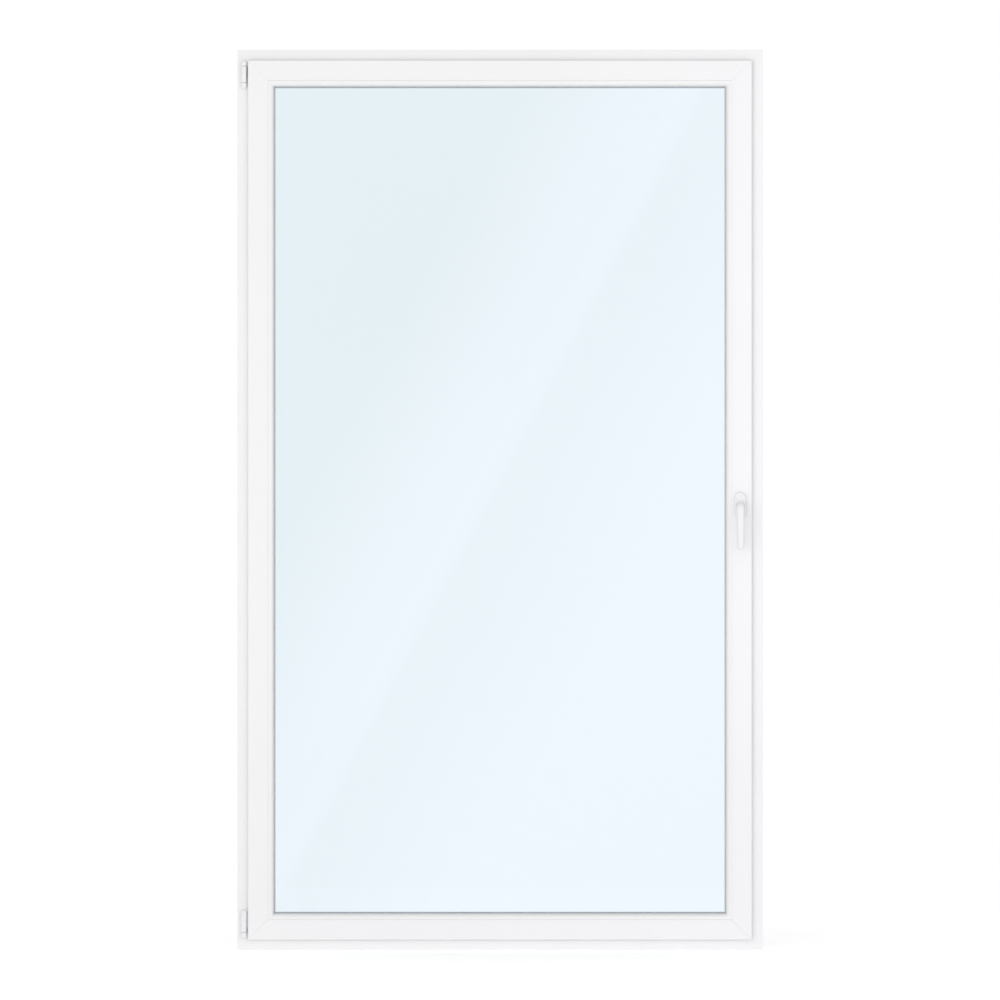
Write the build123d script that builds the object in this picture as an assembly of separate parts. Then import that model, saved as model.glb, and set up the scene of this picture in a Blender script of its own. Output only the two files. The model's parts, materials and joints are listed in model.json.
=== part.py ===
from build123d import *
import os

# French window with one turn-and-tilt leaf. Millimetres, +Z up, the room is on the -Y side.
# The origin is the middle of the frame's underside. Profiles are drawn with u, the distance from
# the frame's outer edge towards the glass, and v, the distance behind the frame's room face.

# Opening size, outside edges of the fixed frame
WIDTH = 1400.0
HEIGHT = 2400.0

# Fixed frame profile
FRAME_DEPTH = 70.0
FRAME_BASE = 36.0
CHANNEL_DEPTH = 5.0
CHANNEL_START = 40.0
LEG_HEIGHT = 22.0
LEG_THICKNESS = 13.0
LEG_BEVEL = 4.0
FRAME_ROUND = 1.2
CLIP_GROOVE_WIDTH = 8.0
CLIP_GROOVE_DEPTH = 4.0
CLIP_GROOVE_INSET = 18.0
FIXING_HOLE_RADIUS = 4.0
FIXING_HOLE_LINE = 28.0
FIXING_HOLE_COUNT = 4
FIXING_HOLE_END = 210.0

# Leaf profile
LEAF_INSET = 28.0
LEAF_FACE = 54.0
LEAF_PROUD = 18.0
LEAF_ROUND = 3.0
WELD_GROOVE = 1.4
OVERLAP_GAP = 3.5
REBATE_GAP = 12.0
SEAL_GAP = 5.0
BEAD_LIP_HEIGHT = 4.0
BEAD_LIP_DEPTH = 6.0
OUTER_LEG_HEIGHT = 19.0
OUTER_LEG_NOSE = 5.0
OUTER_LEG_SLOPE = 7.0

# Groove for the fittings along the leaf's edges
FITTING_LINE = 10.0
LEDGE_WIDTH = 16.0
LEDGE_DEPTH = 3.0
SLOT_WIDTH = 12.0
SLOT_DEPTH = 5.0
FACEPLATE_THICKNESS = 2.5
FACEPLATE_END = 72.0

# Glazing beads
BEAD_HEIGHT = 19.0
BEAD_DEPTH = 24.0
BEAD_ROUND = 8.0
BEAD_FOOT_WIDTH = 4.0
BEAD_FOOT_DEPTH = 4.0
BEAD_FOOT_START = 12.0
JOINT_GAP = 0.3

# Double glazing
PANE_THICKNESS = 4.0
PANE_CAVITY = 16.0
PANE_EDGE_GAP = 5.0
SPACER_INSET = 6.0
SPACER_HEIGHT = 7.0
GASKET_THICKNESS = 3.0
GASKET_SHOWN = 3.0
GASKET_HELD = 9.0
GASKET_BEVEL = 0.8
BLOCK_LENGTH = 100.0
BLOCK_INSET = 130.0

# Seals
SEAL_GROOVE_WIDTH = 3.0
SEAL_GROOVE_DEPTH = 2.5
OVERLAP_SEAL_INSET = 5.0
OVERLAP_SEAL_WIDTH = 5.0
OVERLAP_SEAL_HEIGHT = 1.8
OVERLAP_SEAL_BEVEL = 0.7
FRAME_SEAL_INSET = 6.0
FRAME_SEAL_WIDTH = 5.0
FRAME_SEAL_BEVEL = 1.5

# Hinges, all on one upright axis
HINGE_INSET = 17.0
HINGE_PROUD = 9.5
STRAP_THICKNESS = 2.0
PLATE_THICKNESS = 2.0
TILT_AXIS_HEIGHT = 50.0
BALL_RADIUS = 4.5
BALL_BAND = 0.6
BALL_TIP_RADIUS = 2.0
BALL_TIP_HEIGHT = 4.2
PIN_RADIUS = 3.0
PIN_CLEARANCE = 0.06
BALL_CLEARANCE = 0.1
BOTTOM_HINGE_RADIUS = 8.0
BOTTOM_CORE_RADIUS = 6.2
CUP_BOTTOM = 33.0
CUP_CHAMFER = 3.0
CUP_TOP = 47.4
CUP_FLOOR = 2.0
BARREL_BOTTOM = 48.7
BARREL_TOP = 105.0
CAP_CLEARANCE = 0.1
CAP_END = 2.0
BAND_STRAP_BOTTOM = 60.0
BAND_STRAP_TOP = 98.0
BAND_PLATE_LENGTH = 90.0
BAND_PLATE_WIDTH = 20.0

TOP_HINGE_RADIUS = 7.3
TOP_CORE_RADIUS = 5.6
LUG_HEIGHT = 11.0
TOP_HINGE_DROP = 32.0
TOP_HINGE_LENGTH = 67.0
HINGE_GAP = 1.0
LUG_CAP_HEIGHT = 2.5
LUG_CAP_RADIUS = 6.3

# Stay arm, from the top hinge along the leaf's top edge
ARM_LENGTH = 450.0
ARM_THICKNESS = 4.0
ARM_WIDTH = 12.0
ARM_ABOVE_LEAF = 2.0
ARM_ROOT_THICKNESS = 4.0
ARM_ROOT_GAP = 3.0
ARM_ROOT_DROP = 33.0
ARM_PIN_RADIUS = 3.0
ARM_PIN_LENGTH = 8.5
ARM_PIN_SLOT = 9.0
ARM_PIN_TRAVEL = 24.0

# Handle
HANDLE_INSET = 32.0
HANDLE_HEIGHT = 1185.0
ROSETTE_WIDTH = 32.0
ROSETTE_HEIGHT = 71.0
ROSETTE_DEPTH = 11.0
ROSETTE_CHAMFER = 1.6
NECK_RADIUS = 10.5
LEVER_LENGTH = 117.0
LEVER_WIDTH = 21.0
LEVER_TIP_WIDTH = 19.0
LEVER_THICKNESS = 12.0
LEVER_STANDOFF = 43.0
LEVER_TIP_THICKNESS = 10.0
LEVER_SLOPE = 2.0
LEVER_ROUND = 3.6
SPINDLE_SIZE = 7.0
SPINDLE_BORE = 6.0
SPINDLE_INSIDE = 30.0
SPINDLE_SOCKET = 18.0

# Locking cams on their drive rod, and the striker plates they work against
CAM_COUNT = 4
CAM_END = 330.0
CAM_RADIUS = 5.0
CAM_STEM_WIDTH = 6.0
CAM_REACH = 8.0
CAM_TRAVEL = 36.0
CAM_SLOT_CLEARANCE = 0.6
ROD_WIDTH = 10.0
ROD_THICKNESS = 2.0
ROD_BEYOND = 180.0
STRIKER_LENGTH = 60.0
STRIKER_WIDTH = 16.0
STRIKER_BASE = 2.5
STRIKER_HEIGHT = 8.0
STRIKER_LIP = 4.0
STRIKER_GAP = 5.0

# Drainage caps on the outside of the sill
DRAIN_CAP_COUNT = 3
DRAIN_CAP_PITCH = 450.0
DRAIN_CAP_LENGTH = 42.0
DRAIN_CAP_HEIGHT = 14.0
DRAIN_CAP_DEPTH = 3.0
DRAIN_CAP_LEVEL = 20.0

# Places worked out from the sizes above
LEG_INNER = FRAME_DEPTH - LEG_THICKNESS
LEG_TOP = FRAME_BASE + LEG_HEIGHT
LEAF_SIDE = FRAME_BASE + REBATE_GAP
LEAF_FACE_END = LEAF_INSET + LEAF_FACE
LEAF_BACK = LEG_INNER - SEAL_GAP
GLAZING_BASE = LEAF_FACE_END - BEAD_LIP_HEIGHT
BEAD_BACK = BEAD_DEPTH - LEAF_PROUD
BEAD_TIP = GLAZING_BASE + BEAD_HEIGHT
INNER_PANE_FRONT = BEAD_BACK + GASKET_THICKNESS
CAVITY_FRONT = INNER_PANE_FRONT + PANE_THICKNESS
CAVITY_BACK = CAVITY_FRONT + PANE_CAVITY
OUTER_PANE_BACK = CAVITY_BACK + PANE_THICKNESS
OUTER_LEG_FRONT = OUTER_PANE_BACK + GASKET_THICKNESS
OUTER_LEG_TIP = GLAZING_BASE + OUTER_LEG_HEIGHT
PANE_EDGE = GLAZING_BASE + PANE_EDGE_GAP
LEDGE_FLOOR = LEAF_SIDE + LEDGE_DEPTH
SLOT_FLOOR = LEDGE_FLOOR + SLOT_DEPTH
HINGE_X = HINGE_INSET - WIDTH / 2
HINGE_V = -HINGE_PROUD
PIN_BOTTOM = CUP_BOTTOM + CAP_END + CUP_FLOOR
STRAP_FRONT = -OVERLAP_GAP + JOINT_GAP
HANDLE_X = WIDTH / 2 - LEAF_INSET - HANDLE_INSET
LEAF_FRONT = -LEAF_PROUD
ROSETTE_FRONT = LEAF_FRONT - ROSETTE_DEPTH
TOP_HINGE_TOP = HEIGHT - TOP_HINGE_DROP
TOP_HINGE_BOTTOM = TOP_HINGE_TOP - TOP_HINGE_LENGTH
KNUCKLE_BOTTOM = TOP_HINGE_BOTTOM + LUG_HEIGHT + HINGE_GAP
KNUCKLE_TOP = TOP_HINGE_TOP - LUG_HEIGHT - HINGE_GAP
ARM_BOTTOM = HEIGHT - LEAF_SIDE + ARM_ABOVE_LEAF
ARM_TOP = ARM_BOTTOM + ARM_THICKNESS
MITRE_REACH = OUTER_LEG_TIP + GASKET_SHOWN + JOINT_GAP
SIDES = ("hinge", "lock", "head", "sill")


def at_v(v):
    """Y coordinate of a point v behind the frame's room face."""
    return v - FRAME_DEPTH / 2


def side_plane(side):
    """Plane whose x is u and whose y is v, with its normal along the member."""
    y = at_v(0)
    if side == "hinge":
        return Plane((-WIDTH / 2, y, 0), x_dir=(1, 0, 0), z_dir=(0, 0, 1))
    if side == "lock":
        return Plane((WIDTH / 2, y, HEIGHT), x_dir=(-1, 0, 0), z_dir=(0, 0, -1))
    if side == "head":
        return Plane((-WIDTH / 2, y, HEIGHT), x_dir=(0, 0, -1), z_dir=(1, 0, 0))
    return Plane((WIDTH / 2, y, 0), x_dir=(0, 0, 1), z_dir=(-1, 0, 0))


def mitre_prism(side):
    """Prism that keeps one member's share of the frame, cut at 45 degrees at both ends."""
    side_x = WIDTH / 2
    inner_x = side_x - MITRE_REACH
    low = MITRE_REACH
    high = HEIGHT - MITRE_REACH
    corners = {
        "hinge": ((-side_x, 0), (-side_x, HEIGHT), (-inner_x, high), (-inner_x, low)),
        "lock": ((side_x, 0), (side_x, HEIGHT), (inner_x, high), (inner_x, low)),
        "head": ((-side_x, HEIGHT), (side_x, HEIGHT), (inner_x, high), (-inner_x, high)),
        "sill": ((-side_x, 0), (side_x, 0), (inner_x, low), (-inner_x, low)),
    }
    outline = make_face(Polyline(*corners[side], close=True).edges())
    return extrude(Plane.XZ * outline, FRAME_DEPTH, both=True)


def member(section, side):
    """One mitred member of the given profile."""
    length = HEIGHT if side in ("hinge", "lock") else WIDTH
    bar = extrude(side_plane(side) * section, length)
    return bar & mitre_prism(side)


def ring(section):
    """The four members of one profile, fused into a closed ring."""
    result = member(section, SIDES[0])
    for side in SIDES[1:]:
        result += member(section, side)
    return result


def block_uv(u0, u1, v0, v1):
    """Rectangle in a profile drawing, from its limits in u and v."""
    return Pos((u0 + u1) / 2, (v0 + v1) / 2) * Rectangle(u1 - u0, v1 - v0)


def corner_points(face, corners):
    """The profile's own vertices at the given corners."""
    return [face.vertices().sort_by_distance((u, v, 0))[0] for u, v in corners]


def rounded(face, radius, *corners):
    """Round the named corners of a profile."""
    return fillet(corner_points(face, corners), radius)


def bevelled(face, length, *corners):
    """Cut the named corners of a profile off at 45 degrees."""
    return chamfer(corner_points(face, corners), length)


def box(x0, x1, v0, v1, z0, z1):
    """Box from its limits in x, v and z."""
    middle = Pos((x0 + x1) / 2, at_v((v0 + v1) / 2), (z0 + z1) / 2)
    return middle * Box(x1 - x0, v1 - v0, z1 - z0)


def upright(radius, z0, z1):
    """Cylinder on the hinge axis."""
    return Pos(HINGE_X, at_v(HINGE_V), (z0 + z1) / 2) * Cylinder(radius, z1 - z0)


def frame_section():
    channel = FRAME_BASE - CHANNEL_DEPTH
    outline = make_face(Polyline(
        (0, 0), (FRAME_BASE, 0), (FRAME_BASE, CHANNEL_START), (channel, CHANNEL_START + CHANNEL_DEPTH),
        (channel, LEG_INNER), (LEG_TOP, LEG_INNER), (LEG_TOP, FRAME_DEPTH - LEG_BEVEL),
        (LEG_TOP - LEG_BEVEL, FRAME_DEPTH), (0, FRAME_DEPTH), close=True).edges())
    outline = rounded(outline, FRAME_ROUND, (0, 0), (0, FRAME_DEPTH))
    half = CLIP_GROOVE_WIDTH / 2
    for middle in (CLIP_GROOVE_INSET, FRAME_DEPTH - CLIP_GROOVE_INSET):
        outline -= block_uv(0, CLIP_GROOVE_DEPTH, middle - half, middle + half)
    seal_middle = LEG_TOP - FRAME_SEAL_INSET
    half = SEAL_GROOVE_WIDTH / 2
    groove_back = LEG_INNER + SEAL_GROOVE_DEPTH
    return outline - block_uv(seal_middle - half, seal_middle + half, LEG_INNER, groove_back)


def leaf_section():
    lip_back = LEAF_FRONT + BEAD_LIP_DEPTH
    slope_end = (OUTER_LEG_TIP - OUTER_LEG_SLOPE, LEAF_BACK)
    outline = make_face(Polyline(
        (LEAF_INSET, LEAF_FRONT), (LEAF_FACE_END, LEAF_FRONT), (LEAF_FACE_END, lip_back),
        (GLAZING_BASE, lip_back), (GLAZING_BASE, OUTER_LEG_FRONT), (OUTER_LEG_TIP, OUTER_LEG_FRONT),
        (OUTER_LEG_TIP, OUTER_LEG_FRONT + OUTER_LEG_NOSE), slope_end,
        (LEAF_SIDE, LEAF_BACK), (LEAF_SIDE, -OVERLAP_GAP), (LEAF_INSET, -OVERLAP_GAP), close=True).edges())
    outline = rounded(outline, LEAF_ROUND, (LEAF_INSET, LEAF_FRONT), slope_end)
    outline = rounded(outline, FRAME_ROUND, (LEAF_INSET, -OVERLAP_GAP))
    ledge = LEDGE_WIDTH / 2
    slot = SLOT_WIDTH / 2
    outline -= block_uv(LEAF_SIDE, LEDGE_FLOOR, FITTING_LINE - ledge, FITTING_LINE + ledge)
    outline -= block_uv(LEDGE_FLOOR, SLOT_FLOOR, FITTING_LINE - slot, FITTING_LINE + slot)
    foot = LEAF_FRONT + BEAD_FOOT_START
    outline -= block_uv(GLAZING_BASE - BEAD_FOOT_DEPTH - JOINT_GAP, GLAZING_BASE,
                        foot - JOINT_GAP, foot + BEAD_FOOT_WIDTH + JOINT_GAP)
    half = SEAL_GROOVE_WIDTH / 2
    seal_middle = LEAF_INSET + OVERLAP_SEAL_INSET
    return outline - block_uv(seal_middle - half, seal_middle + half,
                              -OVERLAP_GAP - SEAL_GROOVE_DEPTH, -OVERLAP_GAP)


def bead_section():
    lip_back = LEAF_FRONT + BEAD_LIP_DEPTH + JOINT_GAP
    bead_side = LEAF_FACE_END + JOINT_GAP
    outline = make_face(Polyline(
        (bead_side, LEAF_FRONT), (BEAD_TIP, LEAF_FRONT), (BEAD_TIP, BEAD_BACK), (GLAZING_BASE, BEAD_BACK),
        (GLAZING_BASE, lip_back), (bead_side, lip_back), close=True).edges())
    outline = rounded(outline, BEAD_ROUND, (BEAD_TIP, LEAF_FRONT))
    foot = LEAF_FRONT + BEAD_FOOT_START
    return outline + block_uv(GLAZING_BASE - BEAD_FOOT_DEPTH, GLAZING_BASE, foot, foot + BEAD_FOOT_WIDTH)


def gasket_section(pane_face, outward):
    """Strip between a pane and the bead or leg in front of it, with a lip that covers the edge.

    outward is -1 on the room side and 1 on the outside.
    """
    seat = pane_face + outward * GASKET_THICKNESS
    lip = seat + outward * GASKET_THICKNESS
    tip = BEAD_TIP + GASKET_SHOWN
    strip = block_uv(BEAD_TIP - GASKET_HELD, tip, min(pane_face, seat), max(pane_face, seat))
    strip += block_uv(BEAD_TIP, tip, min(seat, lip), max(seat, lip))
    return bevelled(strip, GASKET_BEVEL, (tip, lip))


def overlap_seal_section():
    middle = LEAF_INSET + OVERLAP_SEAL_INSET
    stem = SEAL_GROOVE_WIDTH / 2
    head = OVERLAP_SEAL_WIDTH / 2
    back = -OVERLAP_GAP
    section = block_uv(middle - stem, middle + stem, back - SEAL_GROOVE_DEPTH, back)
    section += block_uv(middle - head, middle + head, back, back + OVERLAP_SEAL_HEIGHT)
    tip = back + OVERLAP_SEAL_HEIGHT
    return bevelled(section, OVERLAP_SEAL_BEVEL, (middle + head, tip), (middle - head, tip))


def frame_seal_section():
    middle = LEG_TOP - FRAME_SEAL_INSET
    stem = SEAL_GROOVE_WIDTH / 2
    head = FRAME_SEAL_WIDTH / 2
    front = LEAF_BACK + JOINT_GAP
    section = block_uv(middle - stem, middle + stem, LEG_INNER, LEG_INNER + SEAL_GROOVE_DEPTH)
    section += block_uv(middle - head, middle + head, front, LEG_INNER)
    return bevelled(section, FRAME_SEAL_BEVEL, (middle + head, front), (middle - head, front))


def spread(count, end):
    """Heights of evenly spaced things, the outer ones at the given distance from both ends."""
    pitch = (HEIGHT - 2 * end) / (count - 1)
    return [end + index * pitch for index in range(count)]


def fixing_holes(side):
    """Row of holes through a jamb for the screws into the wall."""
    x = -WIDTH / 2 if side == "hinge" else WIDTH / 2 - FRAME_BASE
    holes = Part()
    for z in spread(FIXING_HOLE_COUNT, FIXING_HOLE_END):
        drill = Cylinder(FIXING_HOLE_RADIUS, FRAME_BASE, rotation=(0, 90, 0))
        holes += Pos(x + FRAME_BASE / 2, at_v(FIXING_HOLE_LINE), z) * drill
    return holes


def weld_grooves():
    """Fine V grooves along the four welded corners of the leaf's face."""
    reach = LEAF_FACE_END
    cutter = Rectangle(WELD_GROOVE, WELD_GROOVE, rotation=45)
    grooves = Part()
    for x_side in (-1, 1):
        for z, z_way in ((0, 1), (HEIGHT, -1)):
            start = Vector(x_side * WIDTH / 2, at_v(LEAF_FRONT), z)
            along = Vector(-x_side * reach, 0, z_way * reach)
            plane = Plane(start, x_dir=(0, 1, 0), z_dir=along)
            grooves += extrude(plane * cutter, along.length)
    return grooves


def pane(front):
    edge = PANE_EDGE
    return box(edge - WIDTH / 2, WIDTH / 2 - edge, front, front + PANE_THICKNESS, edge, HEIGHT - edge)


def spacer_section():
    start = PANE_EDGE + SPACER_INSET
    return block_uv(start, start + SPACER_HEIGHT, CAVITY_FRONT, CAVITY_BACK)


def glazing_blocks():
    """Packers that carry the glass in the leaf, two along each edge."""
    blocks = Part()
    half_width = WIDTH / 2 - PANE_EDGE
    half_height = HEIGHT / 2 - PANE_EDGE
    across = half_width - BLOCK_INSET
    up = half_height - BLOCK_INSET
    half = BLOCK_LENGTH / 2
    for way in (-1, 1):
        for z0, z1 in ((GLAZING_BASE, PANE_EDGE), (HEIGHT - PANE_EDGE, HEIGHT - GLAZING_BASE)):
            blocks += box(way * across - half, way * across + half, INNER_PANE_FRONT, OUTER_PANE_BACK, z0, z1)
        middle = HEIGHT / 2 + way * up
        edge = WIDTH / 2 - GLAZING_BASE
        for x0, x1 in ((-edge, -half_width), (half_width, edge)):
            blocks += box(x0, x1, INNER_PANE_FRONT, OUTER_PANE_BACK, middle - half, middle + half)
    return blocks


def faceplate_face(u0, u1):
    """Profile of a strip that lies in the fitting groove's ledge."""
    half = LEDGE_WIDTH / 2 - JOINT_GAP
    return block_uv(u0, u1, FITTING_LINE - half, FITTING_LINE + half)


def plain_faceplate(side):
    """Strip in the fitting groove of one side of the leaf."""
    length = HEIGHT if side in ("hinge", "lock") else WIDTH
    end = LEAF_SIDE + FACEPLATE_END
    plane = side_plane(side).offset(end)
    return extrude(plane * faceplate_face(LEDGE_FLOOR - FACEPLATE_THICKNESS, LEDGE_FLOOR), length - 2 * end)


def cam_heights():
    return spread(CAM_COUNT, CAM_END)


def lock_faceplate():
    """Strip with a slot for each cam's stem to travel in."""
    plate = plain_faceplate("lock")
    half = CAM_STEM_WIDTH / 2 + CAM_SLOT_CLEARANCE
    x = WIDTH / 2 - LEDGE_FLOOR
    for z in cam_heights():
        plate -= box(x, x + FACEPLATE_THICKNESS, FITTING_LINE - half, FITTING_LINE + half,
                     z - half, z + CAM_TRAVEL + half)
    return plate


def stay_faceplate():
    """Strip with a slot for the stay arm's pin."""
    plate = plain_faceplate("head")
    slot = extrude(SlotCenterToCenter(ARM_PIN_TRAVEL, ARM_PIN_SLOT), FACEPLATE_THICKNESS, both=True)
    x = HINGE_X + ARM_LENGTH - ARM_PIN_TRAVEL / 2
    return plate - Pos(x, at_v(FITTING_LINE), HEIGHT - LEDGE_FLOOR) * slot


def locking_cams():
    """Round cams on flat stems on one drive rod behind the lock side's faceplate."""
    half = ROD_WIDTH / 2
    rod_front = WIDTH / 2 - LEDGE_FLOOR - CAM_SLOT_CLEARANCE
    rod = box(rod_front - ROD_THICKNESS, rod_front, FITTING_LINE - half, FITTING_LINE + half,
              CAM_END - ROD_BEYOND, HEIGHT - CAM_END + ROD_BEYOND - CAM_TRAVEL)
    face = WIDTH / 2 - LEDGE_FLOOR + FACEPLATE_THICKNESS
    head_start = face + CAM_SLOT_CLEARANCE
    head_length = CAM_REACH - CAM_SLOT_CLEARANCE
    stem = CAM_STEM_WIDTH / 2
    for z in cam_heights():
        rod += box(rod_front, head_start, FITTING_LINE - stem, FITTING_LINE + stem, z - stem, z + stem)
        head = Cylinder(CAM_RADIUS, head_length, rotation=(0, 90, 0))
        rod += Pos(head_start + head_length / 2, at_v(FITTING_LINE), z) * head
    return rod


def striker_plates():
    """Keeps on the lock jamb, one below each cam's travel."""
    x = WIDTH / 2 - FRAME_BASE
    half = STRIKER_WIDTH / 2
    front = FITTING_LINE - half
    plates = Part()
    for cam in cam_heights():
        top = cam - CAM_RADIUS - STRIKER_GAP
        bottom = top - STRIKER_LENGTH
        plate = box(x - STRIKER_BASE, x, front, FITTING_LINE + half, bottom, top)
        plate += box(x - STRIKER_HEIGHT, x, front, front + STRIKER_LIP, bottom, top)
        plates += plate
    return plates


def corner_bearing():
    """Cup that carries the leaf's weight, with a plate behind the leaf's edge and into the rebate."""
    floor = CUP_BOTTOM + CAP_END
    rebate_x = FRAME_BASE - WIDTH / 2
    cup = upright(BOTTOM_CORE_RADIUS, floor, CUP_TOP)
    cup += box(HINGE_X - BOTTOM_CORE_RADIUS, HINGE_X + BOTTOM_CORE_RADIUS, HINGE_V, -PLATE_THICKNESS,
               floor, CUP_TOP)
    cup += box(HINGE_X - BOTTOM_CORE_RADIUS, rebate_x, -PLATE_THICKNESS, 0, floor, CUP_TOP)
    cup += box(rebate_x, rebate_x + PLATE_THICKNESS, -PLATE_THICKNESS, FITTING_LINE,
               FRAME_BASE + JOINT_GAP, CUP_TOP)
    return cup - upright(PIN_RADIUS + PIN_CLEARANCE, PIN_BOTTOM, CUP_TOP)


def corner_bearing_cap():
    """Rounded white cover of the lower cup."""
    cover = upright(BOTTOM_HINGE_RADIUS, CUP_BOTTOM, CUP_TOP)
    bottom = cover.edges().filter_by(GeomType.CIRCLE).sort_by(Axis.Z)[0]
    cover = chamfer(bottom, CUP_CHAMFER)
    floor = CUP_BOTTOM + CAP_END
    cover -= upright(BOTTOM_CORE_RADIUS + CAP_CLEARANCE, floor, CUP_TOP)
    reach = BOTTOM_CORE_RADIUS + CAP_CLEARANCE
    return cover - box(HINGE_X - reach, HINGE_X + BOTTOM_HINGE_RADIUS, HINGE_V, 0, floor, CUP_TOP)


def ball_pin():
    """Upright pin with a tapered head, on which the leaf can turn and tilt."""
    pin = upright(PIN_RADIUS, PIN_BOTTOM, TILT_AXIS_HEIGHT)
    pin += upright(BALL_RADIUS, TILT_AXIS_HEIGHT - BALL_BAND, TILT_AXIS_HEIGHT)
    tip = Cone(BALL_RADIUS, BALL_TIP_RADIUS, BALL_TIP_HEIGHT)
    return pin + Pos(HINGE_X, at_v(HINGE_V), TILT_AXIS_HEIGHT + BALL_TIP_HEIGHT / 2) * tip


def corner_band():
    """The leaf's lower hinge half: a barrel on the ball, a strap and an angle on the leaf's side."""
    band = upright(BOTTOM_CORE_RADIUS, BARREL_BOTTOM, BARREL_TOP - CAP_END)
    strap_back = STRAP_FRONT + STRAP_THICKNESS
    leaf_x = LEAF_SIDE - WIDTH / 2
    band += box(HINGE_X, leaf_x, STRAP_FRONT, strap_back, BAND_STRAP_BOTTOM, BAND_STRAP_TOP)
    band += box(HINGE_X, HINGE_X + BOTTOM_CORE_RADIUS, HINGE_V, strap_back, BAND_STRAP_BOTTOM, BAND_STRAP_TOP)
    plate_bottom = LEDGE_FLOOR + CAP_END
    band += box(leaf_x - PLATE_THICKNESS, leaf_x, STRAP_FRONT, STRAP_FRONT + BAND_PLATE_WIDTH,
                plate_bottom, plate_bottom + BAND_PLATE_LENGTH)
    return band - upright(BALL_RADIUS + BALL_CLEARANCE, BARREL_BOTTOM,
                          TILT_AXIS_HEIGHT + BALL_RADIUS + BALL_CLEARANCE)


def corner_band_cap():
    """White cover of the lower hinge's long barrel, closed at its top."""
    cover = upright(BOTTOM_HINGE_RADIUS, BARREL_BOTTOM, BARREL_TOP)
    cover -= upright(BOTTOM_CORE_RADIUS + CAP_CLEARANCE, BARREL_BOTTOM, BARREL_TOP - CAP_END)
    return cover - box(HINGE_X - JOINT_GAP, HINGE_X + BOTTOM_HINGE_RADIUS, HINGE_V, 0,
                       BAND_STRAP_BOTTOM - JOINT_GAP, BAND_STRAP_TOP + JOINT_GAP)


def lug(z0, z1):
    """One ear of the top hinge with its plate on the jamb, wrapped into the rebate."""
    ear = upright(TOP_HINGE_RADIUS, z0, z1)
    rebate_x = FRAME_BASE - WIDTH / 2
    ear += box(HINGE_X - PIN_RADIUS, HINGE_X + TOP_HINGE_RADIUS, HINGE_V, 0, z0, z1)
    ear += box(HINGE_X, rebate_x, -PLATE_THICKNESS, 0, z0, z1)
    wrap_top = min(z1, HEIGHT - FRAME_BASE - JOINT_GAP)
    ear += box(rebate_x, rebate_x + PLATE_THICKNESS, -PLATE_THICKNESS, FITTING_LINE, z0, wrap_top)
    return ear


def top_bearing():
    pair = lug(TOP_HINGE_BOTTOM, TOP_HINGE_BOTTOM + LUG_HEIGHT)
    pair += lug(TOP_HINGE_TOP - LUG_HEIGHT, TOP_HINGE_TOP)
    return pair - upright(PIN_RADIUS + PIN_CLEARANCE, TOP_HINGE_BOTTOM, TOP_HINGE_TOP)


def top_hinge_pin():
    return upright(PIN_RADIUS, TOP_HINGE_BOTTOM, TOP_HINGE_TOP)


def top_bearing_caps():
    """End covers above and below the top hinge, a step narrower than its barrel."""
    upper = upright(LUG_CAP_RADIUS, TOP_HINGE_TOP, TOP_HINGE_TOP + LUG_CAP_HEIGHT)
    return upper + upright(LUG_CAP_RADIUS, TOP_HINGE_BOTTOM - LUG_CAP_HEIGHT, TOP_HINGE_BOTTOM)


def stay_arm():
    """Knuckle, strap through the gap behind the leaf's edge, and arm along the leaf's top."""
    arm = upright(TOP_CORE_RADIUS, KNUCKLE_BOTTOM, KNUCKLE_TOP)
    strap_back = STRAP_FRONT + STRAP_THICKNESS
    rebate_x = FRAME_BASE - WIDTH / 2
    root_x = rebate_x + ARM_ROOT_GAP + PLATE_THICKNESS
    root_bottom = ARM_TOP - ARM_ROOT_DROP
    strap_top = KNUCKLE_TOP - HINGE_GAP
    arm += box(HINGE_X, root_x, STRAP_FRONT, strap_back, root_bottom, strap_top)
    arm += box(HINGE_X, HINGE_X + TOP_CORE_RADIUS, HINGE_V, strap_back, root_bottom, strap_top)
    arm_front = FITTING_LINE - ARM_WIDTH / 2
    arm_back = FITTING_LINE + ARM_WIDTH / 2
    arm += box(root_x, root_x + ARM_ROOT_THICKNESS, STRAP_FRONT, arm_back, root_bottom, ARM_TOP)
    end_x = HINGE_X + ARM_LENGTH
    arm += box(root_x, end_x, arm_front, arm_back, ARM_BOTTOM, ARM_TOP)
    end = Cylinder(ARM_WIDTH / 2, ARM_THICKNESS)
    arm += Pos(end_x, at_v(FITTING_LINE), (ARM_BOTTOM + ARM_TOP) / 2) * end
    pin = Cylinder(ARM_PIN_RADIUS, ARM_PIN_LENGTH)
    arm += Pos(end_x, at_v(FITTING_LINE), ARM_BOTTOM - ARM_PIN_LENGTH / 2) * pin
    return arm - upright(PIN_RADIUS + PIN_CLEARANCE, KNUCKLE_BOTTOM, KNUCKLE_TOP)


def stay_knuckle_cap():
    """White cover round the stay's knuckle."""
    cover = upright(TOP_HINGE_RADIUS, KNUCKLE_BOTTOM, KNUCKLE_TOP)
    cover -= upright(TOP_CORE_RADIUS + CAP_CLEARANCE, KNUCKLE_BOTTOM, KNUCKLE_TOP)
    return cover - box(HINGE_X - JOINT_GAP, HINGE_X + TOP_HINGE_RADIUS, HINGE_V, 0,
                       ARM_TOP - ARM_ROOT_DROP - JOINT_GAP, KNUCKLE_TOP)


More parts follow.
